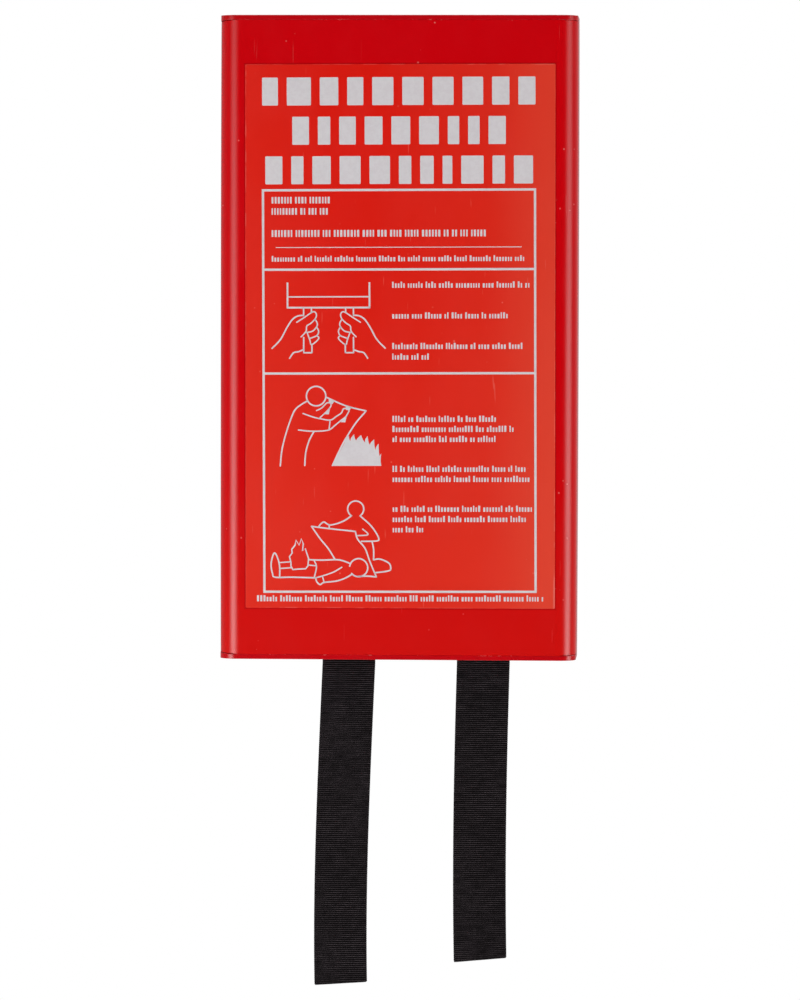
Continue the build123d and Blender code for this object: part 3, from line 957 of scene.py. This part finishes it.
class Nodes:
    """Adds nodes to a tree and joins them up. A value is a number, a colour or another node's output."""

    def __init__(self, tree, place=None):
        self.tree, self.place = tree, place

    def set(self, node, values):
        for socket, value in values.items():
            target = node.inputs[socket.replace("_", " ") if isinstance(socket, str) else socket]
            if isinstance(value, bpy.types.NodeSocket):
                self.tree.links.new(value, target)
            else:
                target.default_value = value

    def add(self, kind, values=None, **settings):
        node = self.tree.nodes.new("ShaderNode" + kind)
        for setting, value in settings.items():
            setattr(node, setting, value)
        self.set(node, values or {})
        return node

    def spread(self, value, low, high, to_low=0.0, to_high=1.0):
        """Maps low..high smoothly to to_low..to_high and holds it beyond them."""
        values = {0: value, 1: low, 2: high, 3: to_low, 4: to_high}
        return self.add("MapRange", values, interpolation_type="SMOOTHSTEP").outputs[0]

    def fade(self, value, near, far):
        """1 up to the near value, and 0 from the far one on."""
        return self.spread(value, near, far, 1.0, 0.0)

    def maths(self, operation, *values):
        return self.add("Math", dict(enumerate(values)), operation=operation).outputs[0]

    def times(self, first, second):
        return self.maths("MULTIPLY", first, second)

    def most(self, first, second):
        return self.maths("MAXIMUM", first, second)

    def apart(self, value, where):
        """The difference between two values, without its sign."""
        return self.maths("ABSOLUTE", self.maths("SUBTRACT", value, where))

    def mix(self, share, first, second):
        values = {0: share, 6: (*first, 1) if isinstance(first, tuple) else first,
                  7: (*second, 1) if isinstance(second, tuple) else second}
        return self.add("Mix", values, data_type="RGBA").outputs[2]

    def axis(self, name, place=None):
        return self.add("SeparateXYZ", {0: place or self.place}).outputs[name]


class Shader(Nodes):
    """A node material around one Principled shader, with patterns placed in the piece's own metres."""

    def __init__(self, name, **values):
        self.material = bpy.data.materials.new(name)
        self.material.use_nodes = True
        super().__init__(self.material.node_tree)
        self.surface = self.tree.nodes["Principled BSDF"]
        self.place = self.add("TexCoord").outputs["Object"]
        self.set(self.surface, values)

    def mapped(self, per_metre, offset, place):
        scale = per_metre if isinstance(per_metre, tuple) else (per_metre,) * 3
        return self.add("Mapping", {0: place or self.place, 1: offset, 3: scale}).outputs[0]

    def noise(self, per_metre, detail=2.0, rough=0.5, offset=(0, 0, 0), place=None):
        """Noise from 0 to 1 with so many features a metre, which may differ along x, y and z."""
        vector = self.mapped(per_metre, offset, place)
        values = {"Vector": vector, "Scale": 1.0, "Detail": detail, "Roughness": rough}
        return self.add("TexNoise", values).outputs["Fac"]

    def cells(self, per_metre, offset=(0, 0, 0)):
        """Distance to the nearest of many scattered points, in cells."""
        vector = self.mapped(per_metre, offset, None)
        return self.add("TexVoronoi", {"Vector": vector, "Scale": 1.0}).outputs["Distance"]

    def near(self, axis, where, width):
        """1 where the piece's x, y or z is at a value, and 0 from width away."""
        return self.fade(self.apart(self.axis(axis), where), 0.0, width)

    def specks(self, cells, small, large, patches, low, high):
        """Scattered dots of two radii, in cells, where the patches rise from low to high."""
        return self.times(self.fade(cells, small, large), self.spread(patches, low, high))

    def finish(self, colour, roughness, *bumps, **more):
        """Sets the surface, with bumps of (height, distance in metres, strength) one over another."""
        self.set(self.surface, {"Base Color": colour, "Roughness": roughness, **more})
        normal = {}
        for height, distance, strength in bumps:
            values = {"Height": height, "Distance": distance, "Strength": strength, **normal}
            normal = {"Normal": self.add("Bump", values).outputs[0]}
        self.set(self.surface, normal)
        return self.material


# Two places, as (x, z, reach), where the sleeve was scratched along its length
SCRATCHED_PLACES = (
    (LABEL_HIGH.x - 0.7 * MM, SLEEVE_LOW.z + 11.2 * MM, 9 * MM),
    (LABEL_LOW.x + 4.7 * MM, LABEL_HIGH.z + 7 * MM, 6 * MM),
)


def label_edge_shadow(paint):
    """1 along a painted shadow line on the sleeve against the label's edge, and 0 elsewhere."""
    across = paint.maths("MULTIPLY_ADD", paint.axis("Z"), LABEL_TILT, paint.axis("X"))
    down = paint.maths("MULTIPLY_ADD", paint.axis("X"), -LABEL_TILT, paint.axis("Z"))
    outside = []
    for place, middle, size in ((across, LABEL_CENTRE.x + LABEL_TILT * LABEL_CENTRE.z, LABEL_WIDTH),
                                (down, LABEL_CENTRE.z - LABEL_TILT * LABEL_CENTRE.x, LABEL_HEIGHT)):
        outside.append(paint.maths("SUBTRACT", paint.apart(place, middle), size / 2 + 0.15 * MM))
    line = paint.fade(paint.maths("ABSOLUTE", paint.most(*outside)), 0.0, 0.9 * MM)
    front = paint.fade(paint.axis("Y"), -0.9 * CASE_DEPTH, -0.8 * CASE_DEPTH)
    return paint.times(line, front)


def red_plastic(name, reds, moulded):
    """Glossy red plastic, drawn or moulded, with scratches, dust, and scuffs at the sleeve's two ends; the
    drawn sleeve also gets a painted sheen low down and a painted shadow along the label's edge.
    """
    paint = Shader(name, IOR=1.5)
    colour = paint.mix(paint.noise((9, 9, 5)), *reds)
    streaks = paint.noise((420, 420, 9), 3, 0.6)
    scratch = paint.spread(paint.noise((1500, 1500, 26), 1, 0.4), 0.755, 0.80)
    specks = paint.specks(paint.cells(210), 0.05, 0.12, paint.noise(60, 1), 0.58, 0.66)
    marks = paint.most(paint.times(scratch, 0.35), specks)
    lines = paint.spread(paint.noise((1400, 1400, 45), 2, 0.5, (7, 2, 0)), 0.48, 0.62, 0, 0.55)
    for x, z, reach in () if moulded else SCRATCHED_PLACES:
        spot = paint.times(paint.near("X", x, 1.3 * MM), paint.near("Z", z, reach))
        marks = paint.most(marks, paint.times(spot, lines))
    for edge in (SLEEVE_HIGH.z, SLEEVE_LOW.z):
        rough = paint.spread(paint.noise((330, 330, 700), 3, 0.7, (edge, 0, 0)), 0.57, 0.69)
        patch = paint.spread(paint.noise(38, 1, 0.5, (edge, 3, 0)), 0.48, 0.57)
        scuff = paint.times(paint.near("Z", edge, 0.45 * MM), paint.times(rough, patch))
        marks = paint.most(marks, paint.times(scuff, 0.9))
    colour = paint.mix(paint.times(marks, 0.5), colour, MARK_PINK)
    if not moulded:
        # Painted sheen: the sleeve's red turns lighter and less deep towards its lower end.
        lower_sheen = paint.fade(paint.axis("Z"), SLEEVE_LOW.z, SLEEVE_LOW.z + 120 * MM)
        colour = paint.mix(lower_sheen, colour, LOW_SHEEN_RED)
        # Painted shadow: a thin darker line on the sleeve all round the label's edge.
        colour = paint.mix(paint.times(label_edge_shadow(paint), 0.6), colour, EDGE_SHADOW_RED)
    gloss = paint.spread(paint.noise((75, 75, 40), 3, 0.6, (3, 1, 2)), 0.3, 0.75, 0.19, 0.25)
    skin = paint.noise(700 if moulded else (260, 260, 180))
    return paint.finish(colour, paint.maths("ADD", gloss, paint.times(marks, 0.25)),
                        (streaks, 0.00002 if moulded else 0.00004, 0.25),
                        (skin, 0.00001, 0.4), (marks, 0.00003, 0.4))


def label_film():
    """Satin red film with a painted sheen towards the right and downwards over a little random tone, dust,
    rubbed edges, and a painted highlight where one edge has lifted.
    """
    paint = Shader("label_film", IOR=1.48, Specular_IOR_Level=0.35)
    across, down = paint.axis("X"), paint.axis("Z")
    third, rim = LABEL_LOW.x + 0.32 * LABEL_WIDTH, LABEL_LOW.x + 0.76 * LABEL_WIDTH
    # Painted sheen: the film's red turns lighter towards the right and towards the bottom, over a little
    # random variation in tone.
    tone_and_sheen = paint.spread(paint.noise((13, 13, 8), 3), 0.2, 0.8, 0.0, 0.07)
    for place, *fade in ((across, third, LABEL_HIGH.x, 0, 0.28), (across, rim, LABEL_HIGH.x, 0, 0.46),
                         (across, LABEL_LOW.x, third, 0.13, 0), (down, LABEL_LOW.z, LABEL_HIGH.z, 0.23, 0)):
        tone_and_sheen = paint.maths("ADD", tone_and_sheen, paint.spread(place, *fade))
    colour = paint.mix(tone_and_sheen, FILM_RED, PAINTED_SHEEN_RED)
    dusty = paint.noise(40, 1, 0.5, (1, 1, 1))
    specks = paint.specks(paint.cells(170, (4, 0, 9)), 0.04, 0.11, dusty, 0.56, 0.64)
    hairs = paint.spread(paint.noise((900, 900, 60), 1, 0.4, (5, 5, 5)), 0.77, 0.82)
    marks = paint.most(specks, paint.times(hairs, 0.5))
    for axis, edge in (("X", LABEL_LOW.x), ("X", LABEL_HIGH.x), ("Z", LABEL_LOW.z), ("Z", LABEL_HIGH.z)):
        rubbed = paint.times(paint.near(axis, edge, 0.5 * MM), paint.spread(paint.noise(160), 0.42, 0.6))
        marks = paint.most(marks, paint.times(rubbed, 0.5))
    colour = paint.mix(paint.times(marks, 0.45), colour, RUBBED_PINK)
    # Painted highlight: a pale line just inside the label's lower right edge, where the film has lifted.
    lower_right = LABEL_HIGH.x + LABEL_HEIGHT / 2 * math.sin(LABEL_TILT) - 0.3 * MM
    low_down = paint.near("Z", LABEL_LOW.z + 4 * MM, 18 * MM)
    lifted = paint.times(paint.near("X", lower_right, 0.8 * MM), low_down)
    colour = paint.mix(paint.times(lifted, 0.4), colour, LIFTED_EDGE_HIGHLIGHT)
    return paint.finish(colour, paint.spread(paint.noise((60, 60, 30), 3, 0.6), 0.3, 0.7, 0.33, 0.40),
                        (paint.noise(1300), 0.00001, 0.35), (paint.noise((30, 30, 18)), 0.0001, 0.25))


def label_ink():
    """Light grey screen ink, thin in places."""
    paint = Shader("label_ink", IOR=1.48)
    thin = paint.spread(paint.noise(480, 3, 0.65), 0.36, 0.62)
    return paint.finish(paint.mix(thin, *INK_GREYS), paint.spread(paint.noise(90), 0.3, 0.7, 0.38, 0.48),
                        (paint.noise(1500), 0.00001, 0.4))


def glass_cloth():
    """Off-white woven glass cloth: a plain weave with uneven yarns."""
    paint = Shader("glass_cloth", IOR=1.5, Sheen_Weight=0.12, Sheen_Roughness=0.4)
    place = paint.add("Attribute", attribute_name="cloth_place").outputs["Vector"]
    bend = paint.times(paint.noise(160, 2, 0.5, place=place), 1.1)
    waves = []
    for axis in ("X", "Y"):
        along = paint.times(paint.axis(axis, place), math.pi / WEAVE_PITCH)
        waves.append(paint.maths("SINE", paint.maths("ADD", along, bend)))
    weave = paint.spread(paint.times(*waves), -1.0, 1.0)
    gaps = paint.times(*(paint.maths("ABSOLUTE", wave) for wave in waves))
    yarns = paint.noise((700, 160, 50), 3, 0.6, place=place)
    old = paint.spread(paint.noise(14, 3, place=place), 0.3, 0.7)
    colour = paint.mix(paint.spread(gaps, 0.0, 0.35, 0.45, 0.0), paint.mix(old, *CLOTH_WHITES), CLOTH_GAP)
    return paint.finish(colour, paint.spread(yarns, 0.3, 0.7, 0.55, 0.72),
                        (weave, 0.00016, 0.8), (gaps, 0.00012, 0.5), (yarns, 0.00005, 0.4))


def webbing():
    """Black polyester webbing: dark yarns, with a painted highlight on top of the ribs, and a little lint."""
    paint = Shader("black_webbing", IOR=1.45, Specular_IOR_Level=0.08, Sheen_Weight=0.02,
                   Sheen_Roughness=0.45)
    yarns = paint.noise((2600, 2600, 500), 3, 0.6)
    fibres = paint.noise((3600, 900, 3600), 2, 0.6, (2, 0, 1))
    patches = paint.noise((45, 45, 60), 3)
    ribs = paint.add("Attribute", attribute_name="rib_height").outputs["Fac"]
    # Painted highlight: the tops of the ribs are lightened in patches.
    crest_highlight = paint.times(paint.spread(ribs, 0.25, 0.95), paint.spread(patches, 0.3, 0.7, 0.66, 1.0))
    colour = paint.mix(crest_highlight, paint.mix(paint.spread(yarns, 0.35, 0.7), *YARN_BLACKS), RIB_HIGHLIGHT_GREY)
    lint = paint.specks(paint.cells((420, 420, 260)), 0.05, 0.10, patches, 0.56, 0.66)
    colour = paint.mix(paint.times(lint, 0.2), colour, LINT)
    return paint.finish(colour, paint.spread(yarns, 0.3, 0.7, 0.52, 0.68),
                        (yarns, 0.00003, 0.35), (fibres, 0.00002, 0.35))


def thread(name, dark, light, roughness):
    """Twisted sewing thread with fine strands."""
    paint = Shader(name, IOR=1.47)
    values = {"Vector": paint.place, "Scale": 900.0, "Distortion": 1.5, "Detail": 2.0}
    wave = paint.add("TexWave", values, wave_type="BANDS", bands_direction="DIAGONAL")
    twist = wave.outputs["Fac"]
    fuzz = paint.noise(2400, 3, 0.6)
    colour = paint.mix(paint.spread(twist, 0.1, 0.8), dark, light)
    return paint.finish(paint.mix(paint.spread(fuzz, 0.35, 0.75, 0.0, 0.3), colour, dark),
                        paint.spread(fuzz, 0.3, 0.7, roughness - 0.06, roughness + 0.06),
                        (twist, 0.00006, 0.7), (fuzz, 0.00003, 0.5))


def floor_paint(radius):
    """Pale floor that shows from above only and fades out towards its rim."""
    paint = Shader("floor_paint", IOR=1.45)
    grain = paint.noise(220, 3)
    away = paint.add("VectorMath", {0: paint.place}, operation="LENGTH").outputs["Value"]
    above = paint.maths("SUBTRACT", 1.0, paint.add("NewGeometry").outputs["Backfacing"])
    shown = paint.times(paint.fade(away, radius * 0.45, radius * 0.96), above)
    colour = paint.mix(paint.noise(3, 4, 0.6), *FLOOR_GREYS)
    return paint.finish(colour, paint.spread(grain, 0.3, 0.7, 0.55, 0.7), (grain, 0.0002, 0.2), Alpha=shown)


# ---- Dressing the frame ----


def dress(piece, body, nodes, material):
    """Lets a piece ride on a body and stand for some nodes, with a material."""
    piece.data.materials.clear()
    piece.data.materials.append(material)
    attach(piece, body)
    if nodes:
        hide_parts(*nodes)
    return piece


def dress_frame():
    """Makes every piece and puts it in the place of its CAD nodes."""
    case_red = red_plastic("case_red", SLEEVE_REDS, False)
    cap_red = red_plastic("cap_red", CAP_REDS, True)
    cloth, black = glass_cloth(), webbing()
    white_thread = thread("white_thread", (0.42, 0.40, 0.36), (0.78, 0.76, 0.71), 0.55)
    black_thread = thread("black_thread", (0.006, 0.005, 0.005), (0.035, 0.031, 0.031), 0.5)
    dress(make_sleeve(), "case", ["case_sleeve"], case_red)
    dress(make_top_cap(), "case", ["top_cap"], cap_red)
    lower_cap = dress(make_bottom_cap(), "cap", ["bottom_cap"], cap_red)
    dress(make_label(), "case", ["front_label"], label_film())
    dress(make_print(), "case", [], label_ink())
    blanket = dress(make_blanket(), "blanket", ["folded_blanket"], cloth)
    hems = dress(make_hems(), "blanket", [], cloth)
    stitches = dress(make_hem_stitches(), "blanket", ["hem_thread"], white_thread)
    for side in STRAP_BLOCKS:
        strap = make_strap(side)
        strap.data.materials.append(black)
        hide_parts(*STRAP_BLOCKS[side])
        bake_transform(strap)
        seam = dress(make_box_seam(side), "blanket", [side + "_strap_stitching"], black_thread)


# ---- Studio ----

FLOOR_Z = -0.80
FLOOR_RADIUS = 1.5


def make_floor():
    """A round floor below the object: rings of quads, and one face that fills the innermost ring."""
    sides, rings = 96, 8
    angles = [2 * math.pi * i / sides for i in range(sides)]
    points = [(FLOOR_RADIUS * r / rings * math.cos(angle), FLOOR_RADIUS * r / rings * math.sin(angle), 0)
              for r in range(1, rings + 1) for angle in angles]
    faces = ring_faces(rings, sides)[:-1]
    floor = mesh_object("floor", points, faces)
    if floor.data.polygons[0].normal.z < 0:
        floor.data.flip_normals()
    floor.location.z = FLOOR_Z
    floor.data.materials.append(floor_paint(FLOOR_RADIUS))


def softbox(name, azimuth, elevation, distance, size, radiance, target, graded=None):
    """A rectangular lamp that faces its target: azimuth 0 is in front, and 90 on the right.

    Graded names the lamp's brightness at its lower and upper end; such a lamp also fades towards its sides.
    """
    lamp = bpy.data.lights.new(name, "AREA")
    lamp.shape = "RECTANGLE"
    lamp.size, lamp.size_y = size
    lamp.energy = radiance * math.pi * size[0] * size[1]
    if graded:
        grade_lamp(lamp, *graded)
    holder = bpy.data.objects.new(name, lamp)
    bpy.context.scene.collection.objects.link(holder)
    turn, rise = math.radians(azimuth), math.radians(elevation)
    away = Vector((math.sin(turn) * math.cos(rise), -math.cos(turn) * math.cos(rise), math.sin(rise)))
    holder.location = Vector(target) + away * distance
    holder.rotation_euler = away.to_track_quat("Z", "Y").to_euler()
    holder.visible_camera = False


def grade_lamp(lamp, low, high):
    """Makes a lamp fade towards its sides and change smoothly from its lower to its upper end."""
    lamp.use_nodes = True
    nodes = Nodes(lamp.node_tree)
    emission = next(node for node in nodes.tree.nodes if node.type == "EMISSION")
    place = nodes.add("NewGeometry").outputs["Parametric"]
    across = nodes.fade(nodes.apart(nodes.axis("X", place), 0.5), 0.0, 0.5)
    along = nodes.spread(nodes.axis("Y", place), 0.1, 0.9, low, high)
    nodes.set(emission, {"Strength": nodes.times(across, along)})


def make_lights():
    """Tall graded lamps on the left and right, brighter low down, and weaker ones behind and above."""
    middle = (0, -0.04, -0.15)
    for azimuth, ends in ((-45, (1.0, 0.05)), (74, (0.76, 0.13))):
        softbox("side_light", azimuth, 0, 1.25, (1.15, 1.5), 9.3, (0, -0.04, -0.30), graded=ends)
    for azimuth in (-150, 150):
        softbox("back_light", azimuth, 48, 1.8, (1.2, 1.2), 3.4, middle)
    softbox("high_light", 0, 52, 1.4, (1.5, 0.8), 1.8, middle)


def make_world():
    """White to the eye. What the surfaces mirror is bright behind the object and dark in front of it."""
    world = bpy.data.worlds.new("studio")
    bpy.context.scene.world = world
    world.use_nodes = True
    nodes = Nodes(world.node_tree)
    depth = nodes.axis("Y", nodes.add("TexCoord").outputs["Generated"])
    ramp = nodes.add("ValToRGB", {0: nodes.maths("MULTIPLY_ADD", depth, 0.5, 0.5)})
    ramp.color_ramp.interpolation = "EASE"
    stops = ((0.0, 0.01), (0.30, 0.03), (0.52, 0.15), (0.80, 0.25), (0.95, 0.40))
    while len(ramp.color_ramp.elements) < len(stops):
        ramp.color_ramp.elements.new(0.5)
    for element, (position, grey) in zip(ramp.color_ramp.elements, stops):
        element.position = position
        element.color = (grey, grey, grey, 1)
    seen = nodes.add("LightPath").outputs["Is Camera Ray"]
    nodes.set(nodes.tree.nodes["Background"], {"Color": nodes.mix(seen, ramp.outputs[0], (1.0, 1.0, 1.0))})


def make_camera():
    """A long lens nearly square to the front, a little above and to the right of it."""
    data = bpy.data.cameras.new("camera")
    camera = bpy.data.objects.new("camera", data)
    bpy.context.scene.collection.objects.link(camera)
    bpy.context.scene.camera = camera
    data.sensor_width = data.sensor_height = 36
    data.lens = 190.4
    data.clip_start = 0.05
    distance, yaw, pitch, roll = 2.5, math.radians(3.04), math.radians(2.41), math.radians(0.153)
    aim = Vector((1.26 * MM, SLEEVE_LOW.y, -194.46 * MM))
    away = Vector((math.sin(yaw) * math.cos(pitch), -math.cos(yaw) * math.cos(pitch), math.sin(pitch)))
    camera.location = aim + away * distance
    turn = away.to_track_quat("Z", "Y").to_matrix() @ Matrix.Rotation(roll, 3, "Z")
    camera.rotation_euler = turn.to_euler()


make_camera()
make_world()
make_lights()
make_floor()
dress_frame()

scene = bpy.context.scene
scene.view_settings.view_transform = "Standard"
scene.view_settings.look = "None"
bpy.context.view_layer.update()
